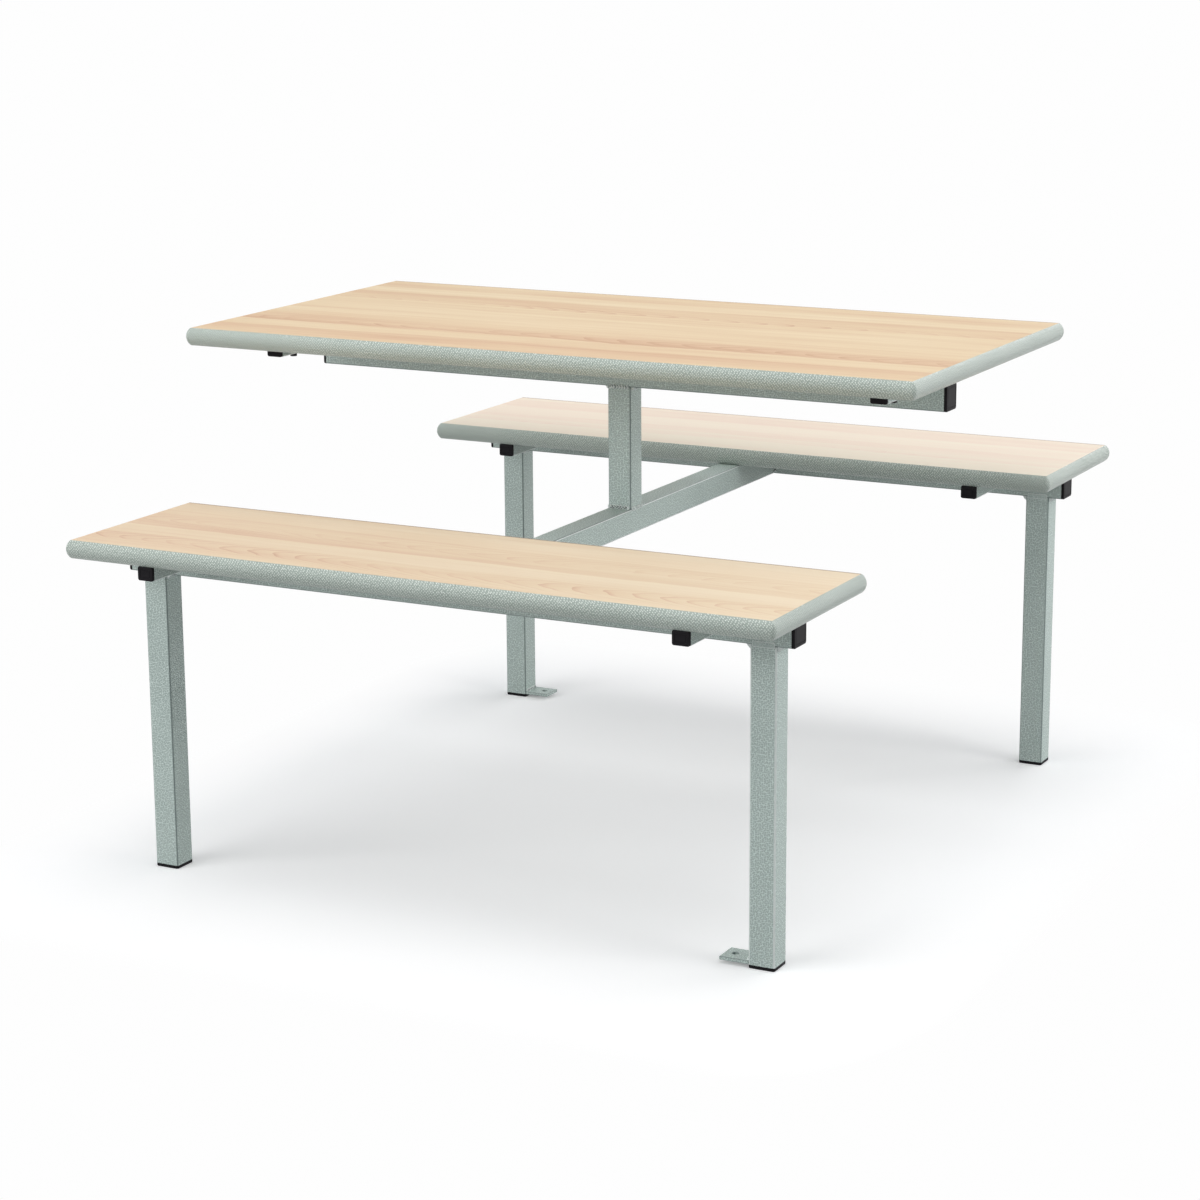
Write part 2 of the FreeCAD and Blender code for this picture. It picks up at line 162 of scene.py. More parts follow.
def frame_coat(name, painted_corner_tone, corner_share, corner_from=0.3, groove_share=0.0, line_share=1.0):
    """Hammertone powder coat: a net of raised pale ridges, darker in the pits between them.

    The tube's corners are painted darker, as painted shade; with a pale corner tone they are
    painted lighter instead, as a painted highlight. A thin painted highlight runs beside the corner
    of a tube's side and its top. On the beads, the hollows carry painted shade and the crests painted
    highlights.
    """
    pit, ridge_height = 0.0025, 0.0003
    pale, deep = screen(216, 230, 224), screen(156, 172, 166)
    # Colour of the painted highlight line beside the tube corners.
    painted_highlight_line = screen(246, 250, 248)
    # Colours of the painted shade in bead hollows and the painted highlights on bead crests.
    painted_hollow_shade, painted_crest_highlight = screen(60, 70, 68), screen(236, 242, 239)
    ridge_middle, ridge_contrast, drift_share = 0.38, 1.8, 0.2
    corner_contrast = 5.0
    line_from, line_contrast, side_contrast = 0.2, 5.0, 4.0
    ridge_rough, pit_rough = 0.4, 0.12
    material, place = new_finish(name)
    x, y, z = axes(place)
    facing = place.add("NewGeometry", output="True Normal")
    side, front, top = axes(facing.add("VectorMath", {0: facing}, operation="ABSOLUTE"))
    flat_place = place.add("CombineXYZ", {"X": x + (y - x) * side, "Y": z + (y - z) * top})
    pits = {"Vector": cells(flat_place, pit, pit, 1.0), "Scale": 1.0, "Randomness": 0.6}
    net = place.add("TexVoronoi", pits, output="Distance", voronoi_dimensions="2D")
    ridge = ((net - ridge_middle) * ridge_contrast + 0.5).clamp()
    drift = cloud(cells(place, 0.05, 0.05, 0.05), detail=2.0)
    tone = (ridge + (drift - 0.5) * drift_share).clamp()
    corner = side * front + front * top + top * side
    # Corners of the tubes get painted shade, or a painted highlight where the corner tone is pale.
    arris = ((corner - corner_from) * corner_contrast).clamp() * corner_share
    base = mix(arris, mix(tone, deep, pale), painted_corner_tone)
    # A thin painted highlight beside the corner between a tube's side and its top or bottom.
    beside_top = ((side * top - line_from) * line_contrast).clamp()
    glint = beside_top * ((side - top) * side_contrast).clamp()
    base = mix(glint * line_share, base, painted_highlight_line)
    # On the beads, hollows get painted shade and crests painted highlights, by how pointed the mesh is.
    bulge = place.add("NewGeometry", output="Pointiness")
    base = mix(((0.5 - bulge) * groove_share).clamp(), base, painted_hollow_shade)
    base = mix(((bulge - 0.5) * groove_share).clamp(), base, painted_crest_highlight)
    roughness = ridge_rough + pit_rough * (1.0 - ridge)
    normal = bump(ridge, ridge_height)
    return close_finish(material, base, roughness, normal, metallic=0.04, specular=0.4)


# Main coat: its corners are painted dark, a painted shade along every arris.
coat = frame_coat("frame_coat", screen(104, 117, 115), 0.85)
# Coat for the arms and the front right leg: its corners are painted pale, a painted highlight.
highlight_corner_coat = frame_coat("highlight_corner_coat", screen(244, 249, 245), 0.65, corner_from=0.1)
# Bead coat: painted shade in the hollows and painted highlights on the crests.
weld_coat = frame_coat("weld_coat", screen(216, 230, 224), 0.0, groove_share=25.0, line_share=0.0)
slots = {part["node"]: part["material_slot"] for part in frame["record"]["subparts"]}
for name, node in nodes.items():
    if slots[name] == "frame_coating":
        # The arms and the front right leg take the coat whose corners carry a painted highlight.
        highlight_corners = "_arm_" in name or name == "front_bench_leg_right"
        node.material_slots[0].material = highlight_corner_coat if highlight_corners else coat


# ------------------------------------------------------------------------------------------
# Welds
# Beads of weld metal laid round the joints by hand and coated with the frame. Each is a row
# of overlapping ripples, fatter and thinner along its run, with a rounded start and end.

def loft(name, loops, material, closed=False):
    """Skin a row of equal loops of points, and cap its two ends unless it closes on itself."""
    count = len(loops[0])
    points = [point for loop in loops for point in loop]
    faces = []
    for row in range(len(loops) - (0 if closed else 1)):
        after = (row + 1) % len(loops)
        for k in range(count):
            beside = (k + 1) % count
            faces.append((row * count + k, row * count + beside,
                          after * count + beside, after * count + k))
    if not closed:
        faces.append(tuple(reversed(range(count))))
        faces.append(tuple(range(len(points) - count, len(points))))
    mesh = bpy.data.meshes.new(name)
    mesh.from_pydata(points, [], faces)
    mesh.materials.append(material)
    piece = bpy.data.objects.new(name, mesh)
    bpy.context.scene.collection.objects.link(piece)
    soften(piece)
    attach(piece, "root")
    return piece


def soften(piece):
    """Smooth shading with the sharp edges kept, and faces that look outwards."""
    sharp_from = 40
    work = bmesh.new()
    work.from_mesh(piece.data)
    bmesh.ops.recalc_face_normals(work, faces=work.faces)
    work.to_mesh(piece.data)
    work.free()
    piece.data.shade_smooth()
    piece.data.set_sharp_from_angle(angle=math.radians(sharp_from))


def join(name, pieces):
    """Make one piece of several, as one node of like parts."""
    with bpy.context.temp_override(active_object=pieces[0], selected_editable_objects=pieces):
        bpy.ops.object.join()
    pieces[0].name = name
    return pieces[0]


def bead(corner, run, first, second, sweep=90, round_share=1.0, ripple_depth=0.5):
    """One weld along run, centred on corner, whose face swings from first to second.

    A round share of 0 makes a flat face, and 1 makes a quarter of a circle or more.
    """
    step, fewest_steps = 0.0006, 8
    ripple = 0.0045
    rounded_end, end_size = 0.004, 0.55
    lumps_per_metre, lumps_across, seed_spread = 300, 2, 40
    lump_share, ripple_middle = 0.8, 0.7
    start = corner - run * 0.5
    stations = max(fewest_steps, int(run.length / step))
    phase = dice.uniform(0, 1)
    slant = dice.uniform(0.5, 1.0)
    loops = []
    for k in range(stations + 1):
        along = k / stations
        distance = along * run.length
        from_end = math.sin(math.pi * min(along, 1 - along)) * run.length
        end_fade = min(1.0, from_end / rounded_end + end_size)
        loop = [start + run * along]
        for turn_step in range(arc_steps + 1):
            share = turn_step / arc_steps
            angle = math.radians(sweep) * share
            flat_size = 1 / (abs(math.cos(angle)) + abs(math.sin(angle)))
            wave = (distance - slant * ripple * math.sin(math.pi * share)) / ripple + phase
            crest = 1 - abs(2 * (wave % 1) - 1)
            spot = (distance * lumps_per_metre, share * lumps_across, phase * seed_spread)
            lump = noise.noise(Vector(spot))
            size = flat_size + (1 - flat_size) * round_share
            size *= end_fade * (1 + ripple_depth * (crest + lump_share * lump - ripple_middle))
            out = first * math.cos(angle) + second * math.sin(angle)
            loop.append(start + run * along + out * size)
        loops.append(loop)
    return loft("bead", loops, weld_coat)


def flush_seam(face, run, outward):
    """A seam dressed nearly flush, which fills the groove beside a rail's rounded edge."""
    half_height = Z * (corner_radius + overlap)
    middle = face + Z * (corner_radius / 2)
    return bead(middle, run, half_height, outward * dressed_height, 180, ripple_depth=0.1)


dice = random.Random(7)
arc_steps = 10
dressed_height, overlap = 0.0003, 0.001
X, Y, Z = Vector((1, 0, 0)), Vector((0, 1, 0)), Vector((0, 0, 1))
corner_radius = 0.003
post_low, post_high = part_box("centre_post")
beam_low, beam_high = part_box("centre_beam")
half_tube = (post_high.x - post_low.x) / 2
flat = 2 * (half_tube - corner_radius)
arm_fillet, post_fillet, beam_fillet, leg_fillet, tab_fillet = 0.003, 0.005, 0.004, 0.007, 0.004
seam_radius = 0.003
arm_spread, arm_climb = 1.2, 1.3
bare_ends = 0.004

table_welds = []
for arm_name in ("table_arm_left", "table_arm_right"):
    low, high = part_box(arm_name)
    for x, way in ((low.x, -1), (high.x, 1)):
        root = Vector((x - way * overlap, 0, low.z))
        outward, upward = X * (way * arm_fillet * arm_spread), Z * arm_fillet * arm_climb
        table_welds.append(bead(root, Y * flat, outward, upward))
for sign in (-1, 1):
    root = Vector((sign * half_tube, 0, post_high.z))
    table_welds.append(bead(root, Y * flat, X * (sign * post_fillet), Z * -post_fillet))
    seam = Vector((0, sign * half_tube, post_high.z))
    table_welds.append(bead(seam, X * flat, Z * -seam_radius, Y * (sign * seam_radius), 180))
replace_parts(join("table_frame_weld_beads", table_welds), "table_frame_welds")

beam_welds = []
for sign in (-1, 1):
    root = Vector((0, sign * half_tube, post_low.z))
    beam_welds.append(bead(root, X * flat, Y * (sign * post_fillet), Z * post_fillet))
    seam = Vector((sign * half_tube, 0, post_low.z))
    beam_welds.append(bead(seam, Y * flat, Z * -seam_radius, X * (sign * seam_radius), 180))
    for y, way in ((beam_low.y, 1), (beam_high.y, -1)):
        root = Vector((sign * half_tube, y, (beam_low.z + beam_high.z) / 2))
        beam_welds.append(bead(root, Z * flat, X * (sign * beam_fillet), Y * (way * beam_fillet)))
for y, way in ((beam_low.y, -1), (beam_high.y, 1)):
    under = Vector((0, y + way * corner_radius / 2, beam_low.z))
    reach = Y * (corner_radius + overlap)
    beam_welds.append(bead(under, X * flat, reach, Z * -dressed_height, 180, ripple_depth=0.1))
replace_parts(join("centre_beam_weld_beads", beam_welds), "centre_beam_welds")

for bench, side, tab in (("front_bench", -1, "front_right_floor_tab"),
                         ("back_bench", 1, "back_left_floor_tab")):
    welds = []
    rail_low, rail_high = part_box(bench + "_rail")
    rail_y = (rail_low.y + rail_high.y) / 2
    for hand in ("left", "right"):
        low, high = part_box(bench + "_leg_" + hand)
        for x, way in ((low.x, -1), (high.x, 1)):
            root = Vector((x, rail_y, high.z))
            welds.append(bead(root, Y * flat, X * (way * leg_fillet), Z * -leg_fillet,
                              round_share=0.15, ripple_depth=0.08))
        for face_side in (-1, 1):
            face = Vector(((low.x + high.x) / 2, rail_y + face_side * half_tube, high.z))
            welds.append(flush_seam(face, X * flat, Y * face_side))
        for reach in ("outer", "inner"):
            low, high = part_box(bench + "_arm_" + hand + "_" + reach)
            way = 1 if high.y > rail_y + half_tube else -1
            root_y = rail_y + way * half_tube
            for x, out in ((low.x, -1), (high.x, 1)):
                root = Vector((x, root_y, (low.z + high.z) / 2))
                run = Z * (high.z - low.z - bare_ends)
                welds.append(bead(root, run, X * (out * arm_fillet), Y * (way * arm_fillet)))
            root = Vector(((low.x + high.x) / 2, root_y, low.z))
            run = X * (high.x - low.x - bare_ends)
            welds.append(bead(root, run, Z * -arm_fillet, Y * (way * arm_fillet)))
    low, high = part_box(tab)
    root = Vector((high.x if side < 0 else low.x, rail_y, high.z))
    welds.append(bead(root, Y * flat, X * (side * tab_fillet), Z * tab_fillet))
    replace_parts(join(bench + "_weld_beads", welds), bench + "_welds")


# ------------------------------------------------------------------------------------------
# Floor tabs
# Short lengths of flat bar welded to two of the legs, drilled for a floor bolt. The sheared
# edges are broken with a file, and the coat rounds the rim of the hole.

def tab_plate(name, side):
    """Flat bar with one hole, from loops that run round both its faces."""
    low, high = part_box(name)
    ease = 0.0006
    hole_radius = 0.0045
    hole_from_leg = 0.027
    steps = 16
    root = high.x if side < 0 else low.x
    middle = Vector((root + side * hole_from_leg, (low.y + high.y) / 2, 0))

    def rim(inset, z):
        left, right = low.x + inset, high.x - inset
        front, rear = low.y + inset, high.y - inset
        corners = [(left, front), (right, front), (right, rear), (left, rear)]
        points = []
        for k, (x, y) in enumerate(corners):
            next_x, next_y = corners[(k + 1) % 4]
            for step in range(steps):
                share = step / steps
                points.append(Vector((x + (next_x - x) * share, y + (next_y - y) * share, z)))
        return points

    def hole(radius, z):
        points = []
        for step in range(4 * steps):
            angle = math.radians(-135) + math.tau * step / (4 * steps)
            spoke = Vector((math.cos(angle), math.sin(angle), 0))
            points.append(middle + spoke * radius + Z * z)
        return points

    loops = [rim(ease, low.z), rim(0, low.z + ease), rim(0, high.z - ease), rim(ease, high.z)]
    loops += [hole(hole_radius + ease, high.z), hole(hole_radius, high.z - ease)]
    loops += [hole(hole_radius, low.z + ease), hole(hole_radius + ease, low.z)]
    plate = loft(name + "_plate", loops, coat, closed=True)
    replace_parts(plate, name)


tab_plate("front_right_floor_tab", -1)
tab_plate("back_left_floor_tab", 1)


# ------------------------------------------------------------------------------------------
# Tube plugs
# Black moulded polyethylene, pushed into every open end of the rails and arms. The cap has
# rounded edges and a thin sunk line round its face.

def moulded_black(name, rough):
    """Black polyethylene with a fine spark-eroded grain and faint scuffs."""
    material, place = new_finish(name)
    grain = cloud(cells(place, 0.0007, 0.0007, 0.0007), detail=3.0)
    scuff = cloud(cells(place, 0.02, 0.02, 0.006), detail=5.0, rough=0.65)
    base = mix(scuff, screen(22, 21, 23), screen(41, 39, 42))
    roughness = rough + 0.16 * (scuff - 0.5) + 0.08 * (grain - 0.5)
    return close_finish(material, base, roughness, bump(grain, 0.00006), specular=0.06)


def rounded_outline(width, depth, radius):
    """Corner points of a rounded rectangle about the origin, eight to a corner."""
    points = []
    for quarter in range(4):
        sign_a = 1 if quarter in (0, 3) else -1
        sign_b = 1 if quarter in (0, 1) else -1
        for step in range(corner_steps):
            angle = math.pi / 2 * (quarter + step / (corner_steps - 1))
            a = sign_a * (width / 2 - radius) + radius * math.cos(angle)
            b = sign_b * (depth / 2 - radius) + radius * math.sin(angle)
            points.append((a, b))
    return points


def insert(mouth, outward, width, depth, wall, flange, stem, material):
    """A plug or foot: a stem inside the tube, and a cap that covers the tube's end.

    Each row of its shape is an inset from the tube's outside, a height above the tube's mouth
    and the radius of the outline's corners.
    """
    across = X if abs(outward.x) < 0.5 else Y
    upward = outward.cross(across)
    slack = wall + 0.00015
    edge, edge_steps, cap_corner = 0.0012, 5, 0.003
    line_inset, line_width, line_depth = 0.0042, 0.0007, 0.0005
    shape = [(slack, -stem, 0.001), (slack, -0.0003, 0.001), (0.0, 0.0, cap_corner)]
    for step in range(edge_steps + 1):
        angle = math.pi / 2 * step / edge_steps
        height = flange - edge * (1 - math.sin(angle))
        shape.append((edge * (1 - math.cos(angle)), height, cap_corner))
    shape.append((line_inset, flange, 0.0015))
    shape.append((line_inset + line_width * 0.4, flange - line_depth, 0.0012))
    shape.append((line_inset + line_width, flange - line_depth, 0.001))
    shape.append((line_inset + line_width * 1.5, flange - 0.0001, 0.0008))
    loops = []
    for inset, height, radius in shape:
        outline = rounded_outline(width - 2 * inset, depth - 2 * inset, radius)
        loops.append([mouth + outward * height + across * a + upward * b for a, b in outline])
    return loft("insert", loops, material)


corner_steps = 8
plug_black = moulded_black("plug_black", 0.42)
tube_wall, arm_wall = 0.002, 0.0015
plug_flange, plug_stem = 0.0045, 0.016

for name in ("table_rail", "front_bench_rail", "back_bench_rail"):
    low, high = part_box(name)
    middle = (low + high) / 2
    size = high.z - low.z
    plugs = []
    for x, way in ((low.x, -1), (high.x, 1)):
        mouth = Vector((x, middle.y, middle.z))
        plugs.append(insert(mouth, X * way, size, size, tube_wall, plug_flange, plug_stem,
                            plug_black))
    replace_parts(join(name + "_end_plugs", plugs), name + "_plugs")

welded_within = 0.03
arm_groups = {"table": ["table_arm_left", "table_arm_right"]}
for bench in ("front_bench", "back_bench"):
    arm_groups[bench] = [f"{bench}_arm_{hand}_{reach}"
                         for hand in ("left", "right") for reach in ("outer", "inner")]
for group, arms in arm_groups.items():
    plugs = []
    for name in arms:
        low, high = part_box(name)
        middle = (low + high) / 2
        for y, way in ((low.y, -1), (high.y, 1)):
            if group != "table":
                rail_y = sum(corner.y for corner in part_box(group + "_rail")) / 2
                if abs(y - rail_y) < welded_within:
                    continue
            mouth = Vector((middle.x, y, middle.z))
            plugs.append(insert(mouth, Y * way, high.x - low.x, high.z - low.z, arm_wall,
                                plug_flange, plug_stem, plug_black))
    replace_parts(join(group + "_arm_end_plugs", plugs), group + "_arm_plugs")


# ------------------------------------------------------------------------------------------
# Leg feet
# The same kind of moulding pushed up into each leg, with a thicker cap to stand on. The
# edge that meets the floor is rounded and scuffed.

foot_black = moulded_black("foot_black", 0.5)
foot_flange, foot_stem = 0.005, 0.022
for bench in ("front_bench", "back_bench"):
    for hand in ("left", "right"):
        low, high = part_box(f"{bench}_leg_{hand}")
        mouth = Vector(((low.x + high.x) / 2, (low.y + high.y) / 2, low.z))
        foot = insert(mouth, -Z, high.x - low.x, high.y - low.y, tube_wall, foot_flange,
                      foot_stem, foot_black)
        foot.name = f"{bench}_foot_{hand}_moulding"
        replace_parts(foot, f"{bench}_foot_{hand}")


# ------------------------------------------------------------------------------------------
# Table bolts and insert nuts
# Black hexagon flange bolts come up through the table arms into threaded sleeves that are
# screwed into the board. The head has a chamfered top and sits on its own round flange.

def steel(name, dark, light, rough, metallic):
    """Turned or plated steel with fine turning marks and uneven sheen."""
    material, place = new_finish(name)
    patch = cloud(cells(place, 0.006, 0.006, 0.006), detail=4.0)
    marks = cloud(cells(place, 0.004, 0.004, 0.0002), detail=2.0)
    base = mix(patch, dark, light)
    roughness = rough + 0.2 * (patch - 0.5) + 0.1 * (marks - 0.5)
    return close_finish(material, base, roughness, bump(marks, 0.00003), metallic=metallic)


def turned(place, shape):
    """Loops round the upward axis: each of the shape's rows is a radius rule and a height."""
    steps = 48
    loops = []
    for rule, height in shape:
        loop = []
        for k in range(steps):
            angle = math.tau * k / steps
            radius = rule(angle) if callable(rule) else rule
            loop.append(place + Vector((math.cos(angle), math.sin(angle), 0)) * radius + Z * height)
        loops.append(loop)
    return loops


black_steel = steel("black_steel", screen(24, 24, 25), screen(46, 45, 46), 0.4, 0.6)
bolt_low, bolt_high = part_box("table_top_bolts")
flange_radius, flange_height = 0.0065, 0.0014
head_height, across_flats = 0.0044, 0.010
shank_radius = 0.003
head_corner = across_flats / 3 ** 0.5
hexagon_turn = math.tau / 6


def hexagon(angle, most=1.0):
    """Distance to the head's edge at an angle, cut off at a given radius."""
    from_flat = (angle + hexagon_turn / 2) % hexagon_turn - hexagon_turn / 2
    from_flat = abs(abs(from_flat) - hexagon_turn / 2)
    return min(most, across_flats / 2 / math.cos(from_flat))


def bolt_rows(length):
    """Radius and height from the dished face of the head up to the end of the shank."""
    dish_radius, dish_depth, dish_rim = 0.0034, 0.0004, 0.0006
    under_board = head_height + flange_height
    thread_end = 0.0008
    chamfer = ((0.0009, 0.0), (0.0003, 0.0006), (0.0, 0.0014))
    rows = [(dish_radius, dish_depth), (dish_radius + dish_rim, 0.0)]
    for cut, height in chamfer:
        rows.append((lambda angle, most=head_corner - cut: hexagon(angle, most), height))
    rows += [(hexagon, head_height - 0.0003), (head_corner + 0.0002, head_height)]
    rows += [(flange_radius - 0.0002, under_board - 0.0008)]
    rows += [(flange_radius, under_board - 0.0005), (flange_radius, under_board)]
    rows += [(shank_radius, under_board), (shank_radius, length - thread_end)]
    return rows + [(shank_radius - thread_end, length)]


bolts = []
rows = bolt_rows(bolt_high.z - bolt_low.z)
for x in (bolt_low.x + flange_radius, bolt_high.x - flange_radius):
    for y in (bolt_low.y + flange_radius, bolt_high.y - flange_radius):
        loops = turned(Vector((x, y, bolt_low.z)), rows)
        bolts.append(loft("bolt", loops, black_steel))
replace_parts(join("table_flange_bolts", bolts), "table_top_bolts")

zinc = steel("zinc_plate", screen(150, 148, 142), screen(206, 204, 198), 0.32, 0.9)
nodes["table_top_insert_nuts"].material_slots[0].material = zinc


# ------------------------------------------------------------------------------------------
# Bench screws
# Zinc-plated pan-head screws, driven up through the bench arms into the boards. The head is
# a low dome with a cross recess.

def recess(angle):
    """Outline of a cross recess: four narrow wings."""
    near_wing = abs((angle + math.pi / 4) % (math.pi / 2) - math.pi / 4)
    wing_length, wing_half_width = 0.0022, 0.0005
    return min(wing_length, wing_half_width / max(math.sin(near_wing), 0.01))


def recess_floor(angle):
    """Outline of the recess's floor, which narrows towards the screw's middle."""
    floor_share = 0.4
    return recess(angle) * floor_share


def screw_rows(length):
    """Radius and height from the recess's floor up to the screw's point."""
    recess_depth, recess_rim = 0.0016, 0.00005
    flat_radius, dome_share, dome_steps = 0.0026, 0.75, 6
    point_length, point_radius = 0.004, 0.0004
    rows = [(recess_floor, recess_depth), (recess, recess_rim)]
    for step in range(dome_steps + 1):
        angle = math.pi / 2 * step / dome_steps
        radius = flat_radius + (head_radius - flat_radius) * math.sin(angle)
        rows.append((radius, pan_height * dome_share * (1 - math.cos(angle))))
    rows += [(head_radius, pan_height), (screw_radius, pan_height)]
    return rows + [(screw_radius, length - point_length), (point_radius, length)]


head_radius, pan_height, screw_radius = 0.0045, 0.0028, 0.0025
for bench in ("front_bench", "back_bench"):
    low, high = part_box(bench + "_screws")
    rows = screw_rows(high.z - low.z)
    screws = []
    for x in (low.x + head_radius, high.x - head_radius):
        for y in (low.y + head_radius, high.y - head_radius):
            loops = turned(Vector((x, y, low.z)), rows)
            screws.append(loft("screw", loops, zinc))
    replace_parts(join(bench + "_pan_screws", screws), bench + "_screws")


# ------------------------------------------------------------------------------------------
# Plastic edging
# Extruded T-section strip, sage grey, with a finely pebbled face. Its tongue is knocked into
# a groove in the board, the nose bulges past the board, and the corners are mitred.

def pebbled_plastic():
    """Pebbled grey plastic: small round bumps, glossier on their crowns, whose crowns carry painted
    highlights and whose hollows carry painted shade.
    """
    pebble, pebble_height = 0.0044, 0.0009
    crown_from, crown_contrast, hollow_tone, drift_share = 0.62, 3.0, 0.12, 0.2
    material, place = new_finish("edging_plastic")
    x, y, z = axes(place)
    across = place.add("CombineXYZ", {"X": x + y + z, "Y": x + y - z})
    spots = {"Vector": cells(across, pebble, pebble, 1.0), "Scale": 1.0, "Randomness": 0.4}
    dome = 1.0 - across.add("TexVoronoi", spots, output="Distance", voronoi_dimensions="2D")
    crown = ((dome - crown_from) * crown_contrast).clamp()
    drift = cloud(cells(place, 0.2, 0.2, 0.2), detail=2.0)
    tone = (crown + (drift - 0.5) * drift_share + hollow_tone).clamp()
    # The pebbles' crowns are painted pale as painted highlights, and the hollows darker as painted shade.
    base = mix(tone, screen(148, 161, 152), screen(236, 243, 234))
    roughness = 0.16 + 0.3 * (1.0 - dome)
    return close_finish(material, base, roughness, bump(dome, pebble_height), specular=0.45)


def edging_strip(name, centre, run, distance, thickness, angle):
    """One strip along the edge at a distance from the board's centre, mitred at both ends.

    Its nose turns half way round the board's corner, where it meets the next strip's nose.
    """
    nose, tongue_depth, tongue = 0.007, 0.008, 0.0022
    half = thickness / 2
    radius = (half ** 2 + nose ** 2) / (2 * nose)
    swing = math.asin(half / radius)
    steps = 20
    profile = []
    for k in range(steps + 1):
        lean = -swing + 2 * swing * k / steps
        profile.append((radius * math.cos(lean) - (radius - nose), radius * math.sin(lean)))
    profile += [(0.0, tongue / 2), (-tongue_depth, tongue / 2)]
    profile += [(-tongue_depth, -tongue / 2), (0.0, -tongue / 2)]
    turned_by = Matrix.Rotation(angle, 4, "Z")

    def loop(share, turn=0.0):
        points = []
        for out, z in profile:
            bulge, sunk = max(out, 0.0), min(out, 0.0)
            x = share * (run / 2 + sunk + bulge * math.sin(turn))
            y = -distance - sunk - bulge * math.cos(turn)
            points.append(centre + turned_by @ Vector((x, y, z)))
        return points

    fan, spacing = 10, 0.02
    stations = int(run / spacing)
    turns = [math.radians(45) * k / fan for k in range(1, fan + 1)]
    loops = [loop(-1, turn) for turn in reversed(turns)]
    loops += [loop(2 * k / stations - 1) for k in range(stations + 1)]
    loops += [loop(1, turn) for turn in turns]
    strip = loft(name + "_strip", loops, edging)
    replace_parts(strip, name)


edging = pebbled_plastic()
for board in ("table", "front_bench", "back_bench"):
    low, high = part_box(board + "_laminate")
    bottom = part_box(board + "_backing_sheet")[0].z
    thickness = high.z - bottom
    centre = Vector(((low.x + high.x) / 2, (low.y + high.y) / 2, bottom + thickness / 2))
    length, depth = high.x - low.x, high.y - low.y
    for edge, quarter in (("front", 0), ("right", 1), ("back", 2), ("left", 3)):
        run, distance = (length, depth / 2) if quarter % 2 == 0 else (depth, length / 2)
        edging_strip(f"{board}_edging_{edge}", centre, run, distance, thickness, quarter * math.pi / 2)


# ------------------------------------------------------------------------------------------
# Laminate faces
# High-pressure laminate with a printed beech grain that runs along each board: wide cream
# and tan bands with one sharp side, nested arches, and fine short flecks. Satin face.

def beech(name, board, bands, arches, wash, lean):
    """Woodgrain for one board. Bands are (place from the back edge, tone) pairs.

    An arch is the place of its apex across and along the board, its taper, the spacing of its
    lines and its strength. Lean is how much the tone deepens from the right end to the left.
    """
    low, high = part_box(board + "_laminate")
    material, place = new_finish(name)
    x, y = axes(place)[:2]
    depth = high.y - low.y
    sway_reach, wobble_reach = 0.035, 0.012
    sway = (cloud(cells(place, 0.5, 0.2, 1.0), detail=2.0) - 0.5) * sway_reach
    wobble = (cloud(cells(place, 0.09, 0.03, 1.0), detail=3.0) - 0.5) * wobble_reach
    bent_y = y + sway + wobble
    from_back = (high.y - bent_y) * (1 / depth)
    stops = [(position, (tone,) * 3) for position, tone in bands]
    band = from_back.add("ValToRGB", {"Fac": from_back}, stops=stops)
    streaks = cloud(cells(place, 0.4, 0.012, 1.0), detail=4.0, rough=0.6)
    patches = cloud(cells(place, 0.3, 0.06, 1.0), detail=3.0)
    lines = cloud(cells(place, 0.18, 0.0016, 1.0), detail=2.0)
    tone = band - x * (lean / (high.x - low.x))
    streak_share, patch_share, line_share = 0.7, 0.5, 0.35
    tone = tone + (streaks - 0.5) * streak_share + (patches - 0.5) * patch_share
    tone = tone + (lines - 0.5) * line_share
    ring_wobble, arch_reach = 0.012, 0.05
    line_from, line_part, saw_share, arch_middle = 0.7, 0.3, 0.4, 0.35
    patch_from, patch_contrast = 0.35, 4.0
    for apex_y, apex_x, taper, spacing, strength in arches:
        off = bent_y - apex_y
        ring = (x - apex_x) * taper + off * off * (1 / arch_width) + patches * ring_wobble
        saw = (ring * (1 / spacing)).math("FRACT")
        line = ((saw - line_from) * (1 / line_part)).clamp()
        inside = (1.0 - (off * (1 / arch_reach)) * (off * (1 / arch_reach))).clamp()
        near = inside * ((patches - patch_from) * patch_contrast).clamp()
        tone = tone + (line + saw * saw_share - arch_middle) * near * strength
    fleck_reach, fleck_contrast, fleck_share = 0.28, 2.5, 0.22
    fleck_place = cells(place, 0.011, 0.0013, 1.0)
    fleck = place.add("TexVoronoi", {"Vector": fleck_place, "Scale": 1.0}, output="Distance")
    tone = tone + ((fleck_reach - fleck) * fleck_contrast).clamp() * fleck_share
    grain_colours = [(0.0, wash[0]), (0.4, wash[1]), (0.75, wash[2]), (1.0, wash[3])]
    printed = tone.add("ValToRGB", {"Fac": tone}, stops=grain_colours)
    # A thin painted shade line along the board's far edge, where it meets the edging.
    far_edge_shade = ((y - (high.y - far_edge_shade_width)) * (1 / far_edge_shade_width)).clamp()
    base = mix(far_edge_shade, printed, far_edge_shade_tone)
    satin, streak_rough = 0.52, 0.06
    roughness = satin + (streaks - 0.5) * streak_rough
    return close_finish(material, base, roughness, bump(lines, 0.00002), specular=0.1)


# The last two values give the width and colour of the painted shade line along each board's far edge.
arch_width, far_edge_shade_width, far_edge_shade_tone = 0.08, 0.005, screen(150, 128, 112)
table_wash = [screen(235, 215, 182), screen(226, 201, 166), screen(216, 182, 149), screen(204, 166, 135)]
bench_wash = [screen(243, 224, 196), screen(235, 211, 180), screen(227, 195, 166), screen(213, 175, 147)]
